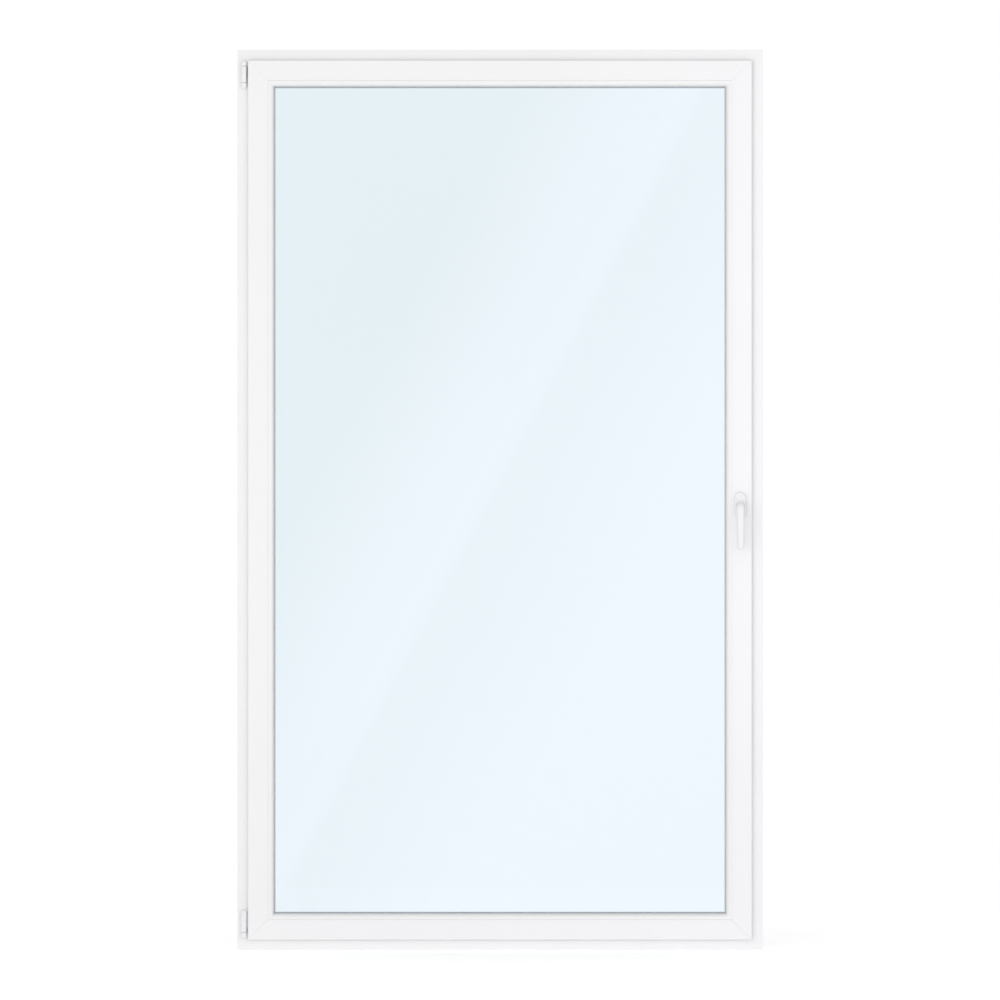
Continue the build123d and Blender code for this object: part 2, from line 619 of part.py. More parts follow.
def handle_rosette():
    """Oval base plate of the handle."""
    outline = SlotOverall(ROSETTE_HEIGHT, ROSETTE_WIDTH, rotation=90)
    leaf_face = at_v(LEAF_FRONT)
    base = Plane((HANDLE_X, leaf_face, HANDLE_HEIGHT), x_dir=(1, 0, 0), z_dir=(0, -1, 0))
    plate = extrude(base * outline, ROSETTE_DEPTH)
    front = plate.faces().sort_by(Axis.Y)[0]
    plate = chamfer(front.edges(), ROSETTE_CHAMFER)
    bore = Cylinder(SPINDLE_BORE, ROSETTE_DEPTH, rotation=(90, 0, 0))
    return plate - Pos(HANDLE_X, leaf_face - ROSETTE_DEPTH / 2, HANDLE_HEIGHT) * bore


def handle_lever():
    """Round neck and a flat grip that tapers, thins and leans out towards its round tip."""
    tip_radius = LEVER_TIP_WIDTH / 2
    outline = make_hull([*Circle(LEVER_WIDTH / 2).edges(),
                         *(Pos(0, tip_radius - LEVER_LENGTH) * Circle(tip_radius)).edges()])
    front_plane = Plane((HANDLE_X, at_v(0), HANDLE_HEIGHT), x_dir=(1, 0, 0), z_dir=(0, -1, 0))
    root = at_v(LEAF_FRONT - LEVER_STANDOFF)
    grip = extrude(front_plane * outline, LEVER_LENGTH)
    tip = root - LEVER_SLOPE
    top_z = LEVER_WIDTH / 2
    side = make_face(Polyline(
        (root, top_z), (root - LEVER_THICKNESS, top_z), (tip - LEVER_TIP_THICKNESS, -LEVER_LENGTH),
        (tip, -LEVER_LENGTH), close=True).edges())
    side_view = Plane((HANDLE_X, 0, HANDLE_HEIGHT), x_dir=(0, 1, 0), z_dir=(1, 0, 0))
    grip = grip & extrude(side_view * side, LEVER_WIDTH, both=True)
    grip = fillet(grip.faces().sort_by(Axis.Y)[0].edges(), LEVER_ROUND)
    neck_start = at_v(ROSETTE_FRONT - JOINT_GAP)
    neck_end = root - LEVER_THICKNESS / 2
    neck = Cylinder(NECK_RADIUS, neck_start - neck_end, rotation=(90, 0, 0))
    lever = grip + Pos(HANDLE_X, (neck_start + neck_end) / 2, HANDLE_HEIGHT) * neck
    size = SPINDLE_SIZE + CAP_CLEARANCE
    socket = Pos(HANDLE_X, neck_start - SPINDLE_SOCKET / 2, HANDLE_HEIGHT) * Box(size, SPINDLE_SOCKET, size)
    return lever - socket


def handle_spindle():
    """Square bar that turns the fittings inside the leaf."""
    front = at_v(ROSETTE_FRONT - JOINT_GAP) - SPINDLE_SOCKET + JOINT_GAP
    back = at_v(LEAF_FRONT) + SPINDLE_INSIDE - JOINT_GAP
    return Pos(HANDLE_X, (front + back) / 2, HANDLE_HEIGHT) * Box(SPINDLE_SIZE, back - front, SPINDLE_SIZE)


def drain_caps():
    """Flat covers over the drainage slots on the outside of the sill."""
    half = DRAIN_CAP_LENGTH / 2
    bottom = DRAIN_CAP_LEVEL - DRAIN_CAP_HEIGHT / 2
    back = FRAME_DEPTH + DRAIN_CAP_DEPTH
    caps = Part()
    for index in range(DRAIN_CAP_COUNT):
        x = (index - (DRAIN_CAP_COUNT - 1) / 2) * DRAIN_CAP_PITCH
        caps += box(x - half, x + half, FRAME_DEPTH, back, bottom, bottom + DRAIN_CAP_HEIGHT)
    return caps


def frame_members():
    section = frame_section()
    names = {"head": "frame_head", "sill": "frame_sill", "hinge": "frame_hinge_jamb",
             "lock": "frame_lock_jamb"}
    members = {}
    for side, name in names.items():
        members[name] = member(section, side)
        if side in ("hinge", "lock"):
            members[name] -= fixing_holes(side)
    return members


def leaf_members():
    section = leaf_section()
    names = {"head": "leaf_top_rail", "sill": "leaf_bottom_rail", "hinge": "leaf_hinge_stile",
             "lock": "leaf_lock_stile"}
    grooves = weld_grooves()
    members = {name: member(section, side) - grooves for side, name in names.items()}
    bore = Cylinder(SPINDLE_BORE, SPINDLE_INSIDE, rotation=(90, 0, 0))
    middle = at_v(LEAF_FRONT) + SPINDLE_INSIDE / 2
    members["leaf_lock_stile"] -= Pos(HANDLE_X, middle, HANDLE_HEIGHT) * bore
    return members


def beads():
    section = bead_section()
    names = {"head": "bead_top", "sill": "bead_bottom", "hinge": "bead_hinge_side", "lock": "bead_lock_side"}
    return {name: member(section, side) for side, name in names.items()}


def overlap_seal():
    """Seal behind the leaf's edge, cut away where the hinges pass."""
    seal = ring(overlap_seal_section())
    room = (HINGE_X, FRAME_BASE - WIDTH / 2 + OVERLAP_SEAL_WIDTH, -OVERLAP_GAP, 0)
    seal -= box(*room, 0, BAND_STRAP_TOP + OVERLAP_SEAL_INSET)
    return seal - box(*room, TOP_HINGE_BOTTOM - OVERLAP_SEAL_INSET, TOP_HINGE_TOP)


def build():
    nodes = {}
    nodes.update(frame_members())
    nodes["frame_seal"] = ring(frame_seal_section())
    nodes["striker_plates"] = striker_plates()
    nodes["corner_bearing"] = corner_bearing()
    nodes["corner_bearing_cap"] = corner_bearing_cap()
    nodes["top_bearing"] = top_bearing()
    nodes["top_bearing_caps"] = top_bearing_caps()
    nodes["top_hinge_pin"] = top_hinge_pin()
    nodes["drain_caps"] = drain_caps()
    nodes["ball_pin"] = ball_pin()
    nodes["stay_arm"] = stay_arm()
    nodes["stay_knuckle_cap"] = stay_knuckle_cap()
    nodes.update(leaf_members())
    nodes.update(beads())
    nodes["inner_pane"] = pane(INNER_PANE_FRONT)
    nodes["outer_pane"] = pane(CAVITY_BACK)
    nodes["spacer_bar"] = ring(spacer_section())
    nodes["inner_gasket"] = ring(gasket_section(INNER_PANE_FRONT, -1))
    nodes["outer_gasket"] = ring(gasket_section(OUTER_PANE_BACK, 1))
    nodes["glazing_blocks"] = glazing_blocks()
    nodes["overlap_seal"] = overlap_seal()
    nodes["corner_band"] = corner_band()
    nodes["corner_band_cap"] = corner_band_cap()
    nodes["lock_faceplate"] = lock_faceplate()
    nodes["stay_faceplate"] = stay_faceplate()
    nodes["lower_faceplate"] = plain_faceplate("sill")
    nodes["handle_rosette"] = handle_rosette()
    nodes["handle_lever"] = handle_lever()
    nodes["handle_spindle"] = handle_spindle()
    nodes["locking_cams"] = locking_cams()
    return nodes


os.makedirs("parts", exist_ok=True)
for node_name, shape in build().items():
    export_step(shape, "parts/" + node_name + ".step")
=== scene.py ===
import json
import math

import bpy
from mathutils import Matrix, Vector


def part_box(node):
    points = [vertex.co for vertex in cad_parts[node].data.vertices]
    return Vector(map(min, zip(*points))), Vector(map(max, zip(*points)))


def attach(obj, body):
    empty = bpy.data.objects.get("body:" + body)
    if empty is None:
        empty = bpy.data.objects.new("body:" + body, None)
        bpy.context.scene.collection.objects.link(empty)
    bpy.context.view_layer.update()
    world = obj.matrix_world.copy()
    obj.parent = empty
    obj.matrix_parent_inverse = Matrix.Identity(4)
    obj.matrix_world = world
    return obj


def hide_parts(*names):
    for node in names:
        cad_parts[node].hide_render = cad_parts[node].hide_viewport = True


# Looks of a white plastic french window, in metres. The room is on the -Y side.
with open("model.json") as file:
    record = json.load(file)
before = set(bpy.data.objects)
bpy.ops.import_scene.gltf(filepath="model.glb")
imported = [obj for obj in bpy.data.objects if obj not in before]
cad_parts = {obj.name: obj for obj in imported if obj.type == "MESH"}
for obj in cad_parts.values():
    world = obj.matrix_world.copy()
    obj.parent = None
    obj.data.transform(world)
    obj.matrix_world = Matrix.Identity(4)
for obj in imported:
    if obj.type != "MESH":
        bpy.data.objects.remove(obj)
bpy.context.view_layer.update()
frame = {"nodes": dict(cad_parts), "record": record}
nodes = frame["nodes"]

# Camera: level, square to the window and far away. The window fills 0.9 of the picture's height.
SENSOR_MM = 36.0
VIEW_WIDTH = 2.4 / 0.9
CAMERA_DISTANCE = 25.0
CAMERA_HEIGHT = 1.2
CAMERA_FAR = 200.0

# Finish colours, linear
PVC_WHITE = (0.895, 0.895, 0.892)
COVER_WHITE = (0.875, 0.878, 0.882)
HANDLE_WHITE = (0.865, 0.868, 0.872)
SEAL_GREY = (0.60, 0.63, 0.66)
ZINC = (0.70, 0.71, 0.72)
SPACER_METAL = (0.66, 0.67, 0.68)
PACKER_BLUE = (0.05, 0.16, 0.36)
GLASS_TINT = (0.902, 0.951, 0.971)
GLASS_IOR = 1.5
SCREW_STEEL = (0.5, 0.51, 0.52)
EXTRUDED_ROUGHNESS = (0.26, 0.36)
MOULDED_ROUGHNESS = (0.28, 0.38)
PAINT_ROUGHNESS = (0.22, 0.3)
FLOOR_PALE = (0.9, 0.9, 0.9)

# Handle: neck, elbow and tapered grip
LEVER_SIDES = 40
ROUND_POWER = 2.0
NECK_RADIUS = 0.0105
ELBOW_RADIUS = 0.0125
ELBOW_STEPS = 14
GRIP_DEPTH = 0.006
GRIP_POWER = 2.7
GRIP_LEAN = 0.001
GRIP_STEPS = 16
TIP_WIDTH = 0.0095
TIP_DEPTH = 0.0052
TIP_ROUND = 0.0095
TIP_STEPS = 10
TIP_CLOSE = 0.97

# Fasteners. A head's profile is (reach, height) in shares of its radius.
HEAD_SIDES = 24
HEAD_PROFILE = ((1.0, 0.0), (1.0, 0.18), (0.9, 0.3), (0.62, 0.36))
RECESS_TOP = 0.36
RECESS_FLOOR = 0.05
RECESS_NARROWING = 0.85
RECESS_WAVE = 0.28
SCREW_RADIUS = 0.0034
SOCKET_RADIUS = 0.0038
SCREW_POINTS = 4
SCREW_RECESS = 0.42
SOCKET_POINTS = 6
SOCKET_RECESS = 0.6
LOCK_SCREW_SHARES = (0.35, 0.75)
STAY_SCREW_SHARES = (0.55, 0.75, 0.95)
LOWER_SCREW_SHARES = (0.05, 0.35, 0.65, 0.95)
BAND_SCREW_DROPS = (0.011, 0.033)
STRIKER_LENGTH = 0.06
STRIKER_BASE = 0.0025
STRIKER_LIP = 0.004
STRIKER_GAP = 0.005
STRIKER_SCREW_REACH = 0.02
CAM_COUNT = 4
CAM_RADIUS = 0.005
BAND_PLATE = 0.002
LUG_SCREW_DROP = 0.0085

# Widths of the roundings on CAD nodes that keep their own mesh
SOFTENED = {
    "bead_top": 0.0008,
    "bead_bottom": 0.0008,
    "bead_hinge_side": 0.0008,
    "bead_lock_side": 0.0008,
    "top_bearing": 0.0006,
    "top_bearing_caps": 0.0012,
    "corner_band_cap": 0.0014,
    "corner_bearing_cap": 0.0008,
    "stay_knuckle_cap": 0.0003,
    "striker_plates": 0.0005,
    "drain_caps": 0.001,
    "stay_arm": 0.0004,
    "lock_faceplate": 0.0003,
}
SOFT_STEPS = 2
WELD_REACH = 0.000001
SHARP_ANGLE = 30.0

# Studio: world light by direction, key lamp, floor, and the glow that the glass mirrors
WORLD_SIDE = 0.42
WORLD_FRONT = 1.08
WORLD_REAR_GAIN = 0.5
WORLD_REAR_START = 0.2
KEY_POWER = 115.0
KEY_SIZE = 5.0
KEY_PLACE = (-2.8, -8.0, 1.2)
FLOOR_WIDTH = 7.0
FLOOR_FRONT = -4.0
FLOOR_BACK = 2.2
FLOOR_ROUGHNESS = 0.9
FLOOR_GLOW = 0.3
FLOOR_LIFT = 0.46
CARD_AHEAD = 3.0
CARD_SIZE = 5.0
CARD_TURN = 27.7
CARD_COLOUR = (0.85, 0.76, 1.0)
# Distance from the card's middle, across the bands to the lower right, and the glow there
CARD_BANDS = [
    (-0.52, 0.3),
    (-0.19, 1.7),
    (-0.11, 1.7),
    (-0.085, 2.1),
    (-0.06, 1.7),
    (-0.045, 2.1),
    (-0.03, 1.2),
    (0.07, 1.2),
    (0.46, 2.2),
]


def new_material(name):
    """Node material with a Principled shader, its node tree and that shader."""
    material = bpy.data.materials.new(name)
    material.use_nodes = True
    tree = material.node_tree
    shader = tree.nodes["Principled BSDF"]
    return material, tree, shader


def node(tree, kind, **values):
    """A shader node with its properties or input values set by name."""
    made = tree.nodes.new(kind)
    for key, value in values.items():
        if hasattr(made, key):
            setattr(made, key, value)
        else:
            made.inputs[key.replace("_", " ")].default_value = value
    return made


def object_noise(tree, scale, stretch=(1, 1, 1), detail=3.0):
    """Noise in the object's own coordinates, finer along the axes that are stretched more."""
    place = node(tree, "ShaderNodeTexCoord")
    mapping = node(tree, "ShaderNodeMapping")
    mapping.inputs["Scale"].default_value = stretch
    noise = node(tree, "ShaderNodeTexNoise", Scale=scale, Detail=detail)
    tree.links.new(place.outputs["Object"], mapping.inputs["Vector"])
    tree.links.new(mapping.outputs["Vector"], noise.inputs["Vector"])
    return noise


def vary_colour(tree, shader, noise, colour, depth):
    """Base colour that wanders slightly round the given one."""
    ramp = node(tree, "ShaderNodeValToRGB")
    low = [channel * (1 - depth) for channel in colour]
    high = [min(1.0, channel * (1 + depth)) for channel in colour]
    ramp.color_ramp.elements[0].color = (*low, 1)
    ramp.color_ramp.elements[0].position = 0.3
    ramp.color_ramp.elements[1].color = (*high, 1)
    ramp.color_ramp.elements[1].position = 0.7
    tree.links.new(noise.outputs["Fac"], ramp.inputs["Fac"])
    tree.links.new(ramp.outputs["Color"], shader.inputs["Base Color"])


def vary_roughness(tree, shader, noise, low, high):
    """Roughness that wanders between two values."""
    spread = node(tree, "ShaderNodeMapRange")
    spread.inputs["To Min"].default_value = low
    spread.inputs["To Max"].default_value = high
    tree.links.new(noise.outputs["Fac"], spread.inputs["Value"])
    tree.links.new(spread.outputs["Result"], shader.inputs["Roughness"])


def add_bump(tree, shader, noise, strength, distance):
    """Fine relief from a noise."""
    bump = node(tree, "ShaderNodeBump", Strength=strength, Distance=distance)
    tree.links.new(noise.outputs["Fac"], bump.inputs["Height"])
    tree.links.new(bump.outputs["Normal"], shader.inputs["Normal"])


def plastic(name, colour, along, roughness=EXTRUDED_ROUGHNESS):
    """Smooth extruded plastic with faint draw lines along the given axis."""
    material, tree, shader = new_material(name)
    cloud = object_noise(tree, scale=3.0, detail=4.0)
    vary_colour(tree, shader, cloud, colour, depth=0.008)
    vary_roughness(tree, shader, cloud, *roughness)
    stretch = [1.0 if axis == along else 60.0 for axis in "xyz"]
    lines = object_noise(tree, scale=6.0, stretch=stretch, detail=2.0)
    add_bump(tree, shader, lines, strength=0.04, distance=0.0004)
    return material


def moulded(name, colour, roughness=MOULDED_ROUGHNESS):
    """Moulded or painted white part with a fine even texture."""
    material, tree, shader = new_material(name)
    cloud = object_noise(tree, scale=25.0, detail=3.0)
    vary_colour(tree, shader, cloud, colour, depth=0.01)
    vary_roughness(tree, shader, cloud, *roughness)
    grain = object_noise(tree, scale=900.0, detail=2.0)
    add_bump(tree, shader, grain, strength=0.05, distance=0.0002)
    return material


def zinc(name, colour, along):
    """Zinc-plated steel, slightly cloudy, with faint rolling lines."""
    material, tree, shader = new_material(name)
    shader.inputs["Metallic"].default_value = 1.0
    cloud = object_noise(tree, scale=40.0, detail=5.0)
    vary_colour(tree, shader, cloud, colour, depth=0.08)
    vary_roughness(tree, shader, cloud, low=0.26, high=0.44)
    stretch = [4.0 if axis == along else 90.0 for axis in "xyz"]
    lines = object_noise(tree, scale=12.0, stretch=stretch, detail=2.0)
    add_bump(tree, shader, lines, strength=0.08, distance=0.0003)
    return material


def rubber(name, colour):
    """Matte extruded seal."""
    material, tree, shader = new_material(name)
    cloud = object_noise(tree, scale=60.0, detail=4.0)
    vary_colour(tree, shader, cloud, colour, depth=0.05)
    vary_roughness(tree, shader, cloud, low=0.55, high=0.72)
    grain = object_noise(tree, scale=1500.0, detail=2.0)
    add_bump(tree, shader, grain, strength=0.1, distance=0.0002)
    return material


def glass(name):
    """Clear glass with a faint blue body colour that is barely uneven."""
    material, tree, shader = new_material(name)
    shader.inputs["Transmission Weight"].default_value = 1.0
    shader.inputs["IOR"].default_value = GLASS_IOR
    shader.inputs["Roughness"].default_value = 0.0
    cloud = object_noise(tree, scale=0.8, detail=1.0)
    vary_colour(tree, shader, cloud, GLASS_TINT, depth=0.004)
    return material


def materials_by_slot():
    """For each slot, its material for upright pieces and for level ones."""
    upright = plastic("pvc_upright", PVC_WHITE, "z")
    level = plastic("pvc_level", PVC_WHITE, "x")
    steel_upright = zinc("zinc_upright", ZINC, "z")
    steel_level = zinc("zinc_level", ZINC, "x")
    return {
        "white_pvc": (upright, level),
        "hinge_cover": (moulded("hinge_cover_white", COVER_WHITE),) * 2,
        "white_hinge": (moulded("hinge_paint", COVER_WHITE),) * 2,
        "zinc_steel": (steel_upright, steel_level),
        "grey_seal": (rubber("seal_grey", SEAL_GREY),) * 2,
        "clear_glass": (glass("window_glass"),) * 2,
        "spacer_metal": (zinc("spacer_metal", SPACER_METAL, "z"),) * 2,
        "packer_plastic": (moulded("packer_blue", PACKER_BLUE),) * 2,
        "handle_white": (moulded("handle_paint", HANDLE_WHITE, PAINT_ROUGHNESS),) * 2,
    }


def mesh_piece(name, verts, faces, body, material):
    """A smooth piece of the object from its points and faces, riding on a body."""
    mesh = bpy.data.meshes.new(name)
    mesh.from_pydata(verts, [], faces)
    mesh.validate()
    mesh.shade_smooth()
    mesh.materials.append(material)
    made = bpy.data.objects.new(name, mesh)
    bpy.context.scene.collection.objects.link(made)
    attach(made, body)
    return made


def skin(rings):
    """Faces that join a list of equal rings, closed at both ends."""
    count = len(rings[0])
    faces = [tuple(range(count))[::-1]]
    for row in range(len(rings) - 1):
        for index in range(count):
            after = (index + 1) % count
            faces.append((row * count + index, row * count + after,
                          (row + 1) * count + after, (row + 1) * count + index))
    last = (len(rings) - 1) * count
    faces.append(tuple(last + index for index in range(count)))
    return faces


def oval(half_width, half_depth, power):
    """Points round a superellipse, which is squarer the higher its power."""
    points = []
    for index in range(LEVER_SIDES):
        turn = 2 * math.pi * index / LEVER_SIDES
        across = math.copysign(abs(math.cos(turn)) ** (2 / power), math.cos(turn))
        deep = math.copysign(abs(math.sin(turn)) ** (2 / power), math.sin(turn))
        points.append((half_width * across, half_depth * deep))
    return points


def lever_stations(neck_start, grip_middle, axis_z, tip_z):
    """Places along the handle's centre line, each with its lean and cross section.

    The neck comes straight out, bends down through an elbow and runs on as the grip. Each station is
    (y, z, lean, half width, half depth, power), with the lean in radians from straight out.
    The power is the cross section's: ROUND_POWER is an ellipse, and more is squarer.
    """
    bend_y = grip_middle + ELBOW_RADIUS
    stations = [(neck_start, axis_z, 0.0, NECK_RADIUS, NECK_RADIUS, ROUND_POWER),
                (bend_y, axis_z, 0.0, NECK_RADIUS, NECK_RADIUS, ROUND_POWER)]
    for step in range(1, ELBOW_STEPS + 1):
        share = step / ELBOW_STEPS
        turn = share * math.pi / 2
        ease = share * share * (3 - 2 * share)
        y = bend_y - ELBOW_RADIUS * math.sin(turn)
        z = axis_z - ELBOW_RADIUS * (1 - math.cos(turn))
        depth = NECK_RADIUS + (GRIP_DEPTH - NECK_RADIUS) * ease
        stations.append((y, z, turn, NECK_RADIUS, depth, ROUND_POWER + (GRIP_POWER - ROUND_POWER) * ease))
    grip_top = axis_z - ELBOW_RADIUS
    round_start = tip_z + TIP_ROUND
    for step in range(1, GRIP_STEPS + 1):
        share = step / GRIP_STEPS
        y = grip_middle - GRIP_LEAN * share
        z = grip_top + (round_start - grip_top) * share
        width = NECK_RADIUS + (TIP_WIDTH - NECK_RADIUS) * share
        depth = GRIP_DEPTH + (TIP_DEPTH - GRIP_DEPTH) * share
        stations.append((y, z, math.pi / 2, width, depth, GRIP_POWER))
    for step in range(1, TIP_STEPS + 1):
        turn = step / TIP_STEPS * math.pi / 2 * TIP_CLOSE
        z = round_start - TIP_ROUND * math.sin(turn)
        width = TIP_WIDTH * math.cos(turn)
        depth = TIP_DEPTH * math.sqrt(math.cos(turn))
        stations.append((grip_middle - GRIP_LEAN, z, math.pi / 2, width, depth, GRIP_POWER))
    return stations


def handle_grip(material):
    """The handle's neck and grip as one smooth bent form."""
    low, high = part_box("handle_lever")
    rosette_low, rosette_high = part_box("handle_rosette")
    middle_x = (rosette_low.x + rosette_high.x) / 2
    axis_z = (rosette_low.z + rosette_high.z) / 2
    grip_middle = low.y + GRIP_DEPTH + GRIP_LEAN
    verts = []
    rings = []
    for y, z, lean, width, depth, power in lever_stations(high.y, grip_middle, axis_z, low.z):
        ring = []
        for across, up in oval(width, depth, power):
            ring.append((middle_x + across, y - up * math.sin(lean), z + up * math.cos(lean)))
        verts.extend(ring)
        rings.append(ring)
    made = mesh_piece("grip", verts, skin(rings), "handle", material)
    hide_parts("handle_lever")


def head_rings(radius, recess_points, recess_share):
    """Rings of a fastener's head along its axis: a shallow dome with a star-shaped recess."""
    corners = 2 * recess_points
    steps = corners * max(1, round(HEAD_SIDES / corners))
    rounds = [[(radius * share, height * radius)] * steps for share, height in HEAD_PROFILE]
    star = []
    for index in range(steps):
        wave = math.cos(recess_points * 2 * math.pi * index / steps)
        star.append(recess_share * radius * (1 + RECESS_WAVE * wave))
    rounds.append([(reach, RECESS_TOP * radius) for reach in star])
    rounds.append([(reach * RECESS_NARROWING, RECESS_FLOOR * radius) for reach in star])
    return rounds


def fastener(name, place, outward, radius, body, material, recess=(SCREW_POINTS, SCREW_RECESS)):
    """A fastener's head on a surface, facing outward, with a recess for the driver."""
    turn = Vector((0, 0, 1)).rotation_difference(Vector(outward)).to_matrix()
    verts = []
    rings = head_rings(radius, *recess)
    for ring in rings:
        for index, (reach, height) in enumerate(ring):
            angle = 2 * math.pi * index / len(ring)
            local = Vector((reach * math.cos(angle), reach * math.sin(angle), height))
            verts.append(Vector(place) + turn @ local)
    return mesh_piece(name, verts, skin(rings), body, material)


def striker_screws(material):
    """Two screws in each striker plate."""
    low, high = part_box("striker_plates")
    heights = cam_heights()
    plate_x = high.x - STRIKER_BASE
    line = (low.y + STRIKER_LIP + high.y) / 2
    for number, cam_z in enumerate(heights):
        middle = low.z + (cam_z - heights[0]) + STRIKER_LENGTH / 2
        for way in (-1, 1):
            fastener(f"striker_screw_{number}_{way + 1}", (plate_x, line, middle + way * STRIKER_SCREW_REACH),
                     (-1, 0, 0), SCREW_RADIUS, "frame", material)


def faceplate_screws(material):
    """Screws between the cams in the lock faceplate, and along the upper and lower faceplates."""
    low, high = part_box("lock_faceplate")
    line = (low.y + high.y) / 2
    heights = cam_heights()
    for number in range(len(heights) - 1):
        for share in LOCK_SCREW_SHARES:
            z = heights[number] + (heights[number + 1] - heights[number]) * share
            fastener(f"lock_screw_{number}_{int(share * 100)}", (high.x, line, z), (1, 0, 0), SCREW_RADIUS,
                     "leaf", material)
    rows = (("stay_faceplate", STAY_SCREW_SHARES, 1), ("lower_faceplate", LOWER_SCREW_SHARES, -1))
    for name, shares, way in rows:
        low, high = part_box(name)
        for share in shares:
            x = low.x + (high.x - low.x) * share
            z = high.z if way > 0 else low.z
            fastener(f"{name}_screw_{int(share * 100)}", (x, line, z), (0, 0, way), SCREW_RADIUS,
                     "leaf", material)


def hinge_screws(material):
    """Screws in the leaf's corner band and in the wrapped plates of the top hinge's lugs."""
    low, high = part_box("corner_band")
    line = (low.y + high.y) / 2 + SCREW_RADIUS
    for number, drop in enumerate(BAND_SCREW_DROPS):
        fastener(f"band_screw_{number}", (high.x - BAND_PLATE, line, high.z - drop), (-1, 0, 0), SCREW_RADIUS,
                 "leaf", material)
    low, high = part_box("top_bearing")
    for number, z in enumerate((low.z + LUG_SCREW_DROP, high.z - LUG_SCREW_DROP)):
        fastener(f"top_bearing_screw_{number}", (high.x, high.y - SCREW_RADIUS, z), (1, 0, 0), SCREW_RADIUS,
                 "frame", material)


def cam_heights():
    """Heights of the cams' middles, which stand evenly along the drive rod."""
    low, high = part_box("locking_cams")
    striker_low, striker_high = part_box("striker_plates")
    first = striker_low.z + STRIKER_LENGTH + STRIKER_GAP + CAM_RADIUS
    last = striker_high.z + STRIKER_GAP + CAM_RADIUS
    return [first + (last - first) * index / (CAM_COUNT - 1) for index in range(CAM_COUNT)]


def cam_sockets(material):
    """Six-pointed sockets that turn the cams to set how hard the leaf is pressed on."""
    low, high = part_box("locking_cams")
    line = (low.y + high.y) / 2
    for number, z in enumerate(cam_heights()):
        fastener(f"cam_socket_{number}", (high.x, line, z), (1, 0, 0), SOCKET_RADIUS, "lock_rod", material,
                 (SOCKET_POINTS, SOCKET_RECESS))


def soften(name, width):
    """Rounds the sharp edges of a CAD node that keeps its own mesh."""
    target = nodes[name]
    weld = target.modifiers.new("join", "WELD")
    weld.merge_threshold = WELD_REACH
    bevel = target.modifiers.new("round", "BEVEL")
    bevel.width = width
    bevel.segments = SOFT_STEPS
    bevel.limit_method = "ANGLE"
    bevel.angle_limit = math.radians(SHARP_ANGLE)
    bevel.harden_normals = True


def dress_nodes():
    """Gives each node its slot's material, in the version that runs along the piece."""
    slots = materials_by_slot()
    for row in frame["record"]["subparts"]:
        name = row["node"]
        low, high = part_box(name)
        upright, level = slots[row["material_slot"]]
        chosen = upright if high.z - low.z > high.x - low.x else level
        mesh = nodes[name].data
        mesh.materials.clear()
        mesh.materials.append(chosen)


def seen_share(tree):
    """Socket that is 1 for what the camera sees directly, through glass or in a reflection."""
    path = node(tree, "ShaderNodeLightPath")
    direct = node(tree, "ShaderNodeMath", operation="MAXIMUM")
    tree.links.new(path.outputs["Is Camera Ray"], direct.inputs[0])
    tree.links.new(path.outputs["Is Transmission Ray"], direct.inputs[1])
    mirrored = node(tree, "ShaderNodeMath", operation="MAXIMUM")
    tree.links.new(direct.outputs[0], mirrored.inputs[0])
    tree.links.new(path.outputs["Is Glossy Ray"], mirrored.inputs[1])
    return mirrored.outputs[0]


def sky():
    """White surroundings: full white to the eye and in reflections, and light from front and back."""
    world = bpy.data.worlds.new("studio")
    bpy.context.scene.world = world
    world.use_nodes = True
    tree = world.node_tree
    background = tree.nodes["Background"]
    background.inputs["Color"].default_value = (1, 1, 1, 1)
    seen = seen_share(tree)
    place = node(tree, "ShaderNodeTexCoord")
    split = node(tree, "ShaderNodeSeparateXYZ")
    light = node(tree, "ShaderNodeMapRange")
    light.inputs["From Min"].default_value = 0.0
    light.inputs["From Max"].default_value = -1.0
    light.inputs["To Min"].default_value = WORLD_SIDE
    light.inputs["To Max"].default_value = WORLD_FRONT
    rear = node(tree, "ShaderNodeMapRange")
    rear.inputs["From Min"].default_value = WORLD_REAR_START
    rear.inputs["To Max"].default_value = WORLD_REAR_GAIN
    total = node(tree, "ShaderNodeMath", operation="ADD")
    strength = node(tree, "ShaderNodeMix")
    strength.inputs["B"].default_value = 1.0
    tree.links.new(place.outputs["Generated"], split.inputs["Vector"])
    tree.links.new(split.outputs["Y"], light.inputs["Value"])
    tree.links.new(split.outputs["Y"], rear.inputs["Value"])
    tree.links.new(light.outputs["Result"], total.inputs[0])
    tree.links.new(rear.outputs["Result"], total.inputs[1])
    tree.links.new(total.outputs[0], strength.inputs["A"])
    tree.links.new(seen, strength.inputs["Factor"])
    tree.links.new(strength.outputs["Result"], background.inputs["Strength"])


def sheet(name, corners):
    """One flat face through the given corners, part of the studio."""
    mesh = bpy.data.meshes.new(name)
    mesh.from_pydata(corners, [], [tuple(range(len(corners)))])
    made = bpy.data.objects.new(name, mesh)
    bpy.context.scene.collection.objects.link(made)
    return made


def floor():
    """Pale floor that shows white to the camera and keeps the object's shadow."""
    half = FLOOR_WIDTH / 2
    corners = [(-half, FLOOR_FRONT, 0), (half, FLOOR_FRONT, 0), (half, FLOOR_BACK, 0), (-half, FLOOR_BACK, 0)]
    made = sheet("floor", corners)
    made.visible_glossy = False
    material, tree, shader = new_material("floor_pale")
    shader.inputs["Base Color"].default_value = (*FLOOR_PALE, 1)
    shader.inputs["Roughness"].default_value = FLOOR_ROUGHNESS
    shader.inputs["Specular IOR Level"].default_value = 0.0
    lift = node(tree, "ShaderNodeMapRange")
    lift.inputs["To Min"].default_value = FLOOR_GLOW
    lift.inputs["To Max"].default_value = FLOOR_LIFT
    tree.links.new(seen_share(tree), lift.inputs["Value"])
    shader.inputs["Emission Color"].default_value = (1, 1, 1, 1)
    tree.links.new(lift.outputs["Result"], shader.inputs["Emission Strength"])
    made.data.materials.append(material)


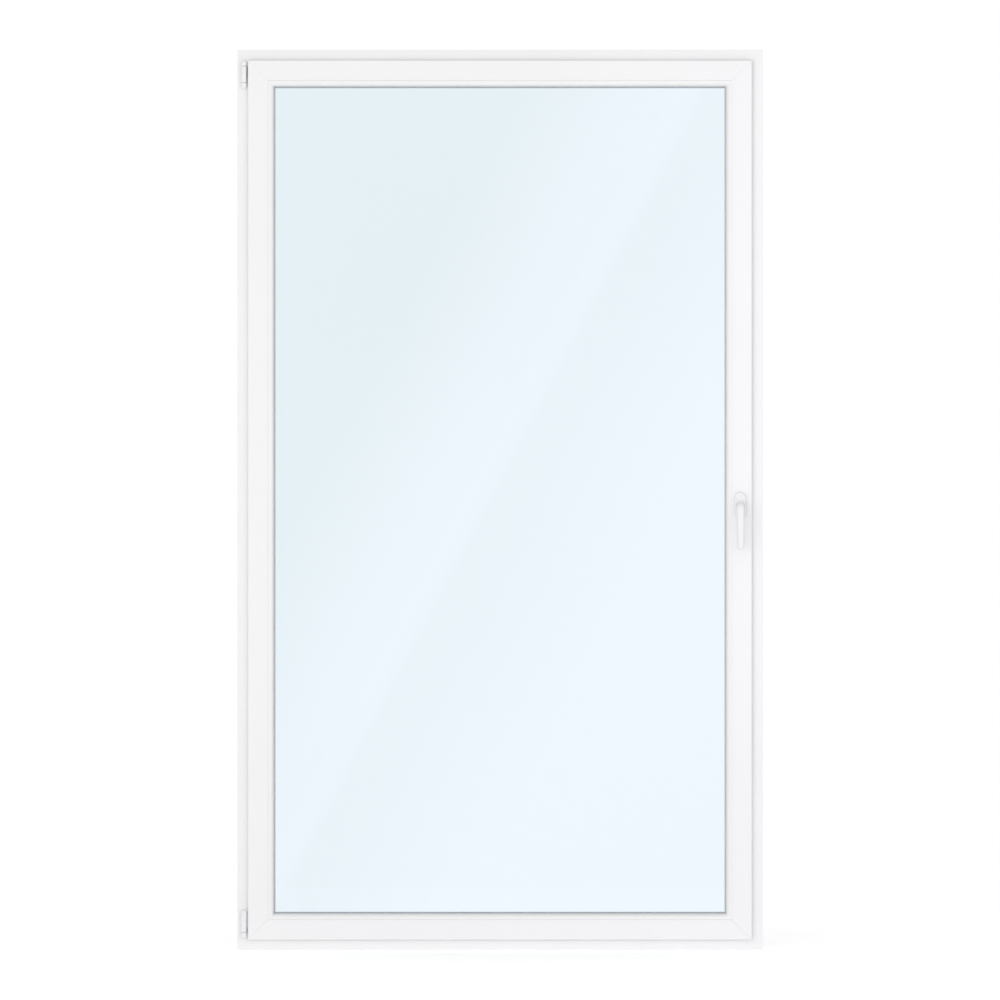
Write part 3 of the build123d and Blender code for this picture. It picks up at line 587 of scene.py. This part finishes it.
def reflection_card():
    """Soft diagonal sky glow that only mirror reflections see."""
    half = CARD_SIZE / 2
    made = sheet("reflection_card", [(-half, 0, -half), (half, 0, -half), (half, 0, half), (-half, 0, half)])
    made.location = (0, -CARD_AHEAD, CAMERA_HEIGHT)
    made.visible_camera = False
    made.visible_diffuse = False
    made.visible_transmission = False
    made.visible_shadow = False
    material = bpy.data.materials.new("card_glow")
    material.use_nodes = True
    tree = material.node_tree
    tree.nodes.clear()
    place = node(tree, "ShaderNodeTexCoord")
    mapping = node(tree, "ShaderNodeMapping")
    mapping.inputs["Rotation"].default_value = (0, -math.radians(CARD_TURN), 0)
    ramp = node(tree, "ShaderNodeValToRGB")
    bands = ramp.color_ramp.elements
    while len(bands) < len(CARD_BANDS):
        bands.new(0.5)
    for band, (distance, glow) in zip(bands, CARD_BANDS):
        band.position = 0.5 + distance / CARD_SIZE
        band.color = (glow * CARD_COLOUR[0], glow * CARD_COLOUR[1], glow * CARD_COLOUR[2], 1)
    split = node(tree, "ShaderNodeSeparateXYZ")
    stretch = node(tree, "ShaderNodeMapRange")
    stretch.inputs["From Min"].default_value = -half
    stretch.inputs["From Max"].default_value = half
    glow = node(tree, "ShaderNodeEmission")
    end = node(tree, "ShaderNodeOutputMaterial")
    tree.links.new(place.outputs["Object"], mapping.inputs["Vector"])
    tree.links.new(mapping.outputs["Vector"], split.inputs["Vector"])
    tree.links.new(split.outputs["X"], stretch.inputs["Value"])
    tree.links.new(stretch.outputs["Result"], ramp.inputs["Fac"])
    tree.links.new(ramp.outputs["Color"], glow.inputs["Color"])
    tree.links.new(glow.outputs["Emission"], end.inputs["Surface"])
    made.data.materials.append(material)


def lamp(name, size, power, location, target):
    """Square lamp that lights the object but doesn't show in the glass."""
    data = bpy.data.lights.new(name, "AREA")
    data.size = size
    data.energy = power
    made = bpy.data.objects.new(name, data)
    bpy.context.scene.collection.objects.link(made)
    made.visible_camera = False
    made.visible_glossy = False
    made.visible_transmission = False
    made.location = location
    made.rotation_euler = (Vector(target) - Vector(location)).to_track_quat("-Z", "Y").to_euler()
    return made


def camera():
    """Level camera, square to the frame's face, that takes in the whole window."""
    data = bpy.data.cameras.new("camera")
    data.sensor_width = SENSOR_MM
    data.lens = SENSOR_MM * CAMERA_DISTANCE / VIEW_WIDTH
    data.clip_end = CAMERA_FAR
    made = bpy.data.objects.new("camera", data)
    bpy.context.scene.collection.objects.link(made)
    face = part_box("frame_head")[0].y
    made.location = (0, face - CAMERA_DISTANCE, CAMERA_HEIGHT)
    made.rotation_euler = (math.radians(90), 0, 0)
    bpy.context.scene.camera = made


dress_nodes()
screw_steel = zinc("screw_zinc", SCREW_STEEL, "z")
handle_grip(moulded("grip_paint", HANDLE_WHITE, PAINT_ROUGHNESS))
striker_screws(screw_steel)
faceplate_screws(screw_steel)
hinge_screws(screw_steel)
cam_sockets(screw_steel)
for name, width in SOFTENED.items():
    soften(name, width)
sky()
floor()
lamp("key", KEY_SIZE, KEY_POWER, KEY_PLACE, (0, 0, CAMERA_HEIGHT))
reflection_card()
camera()

scene = bpy.context.scene
scene.view_settings.view_transform = "Standard"
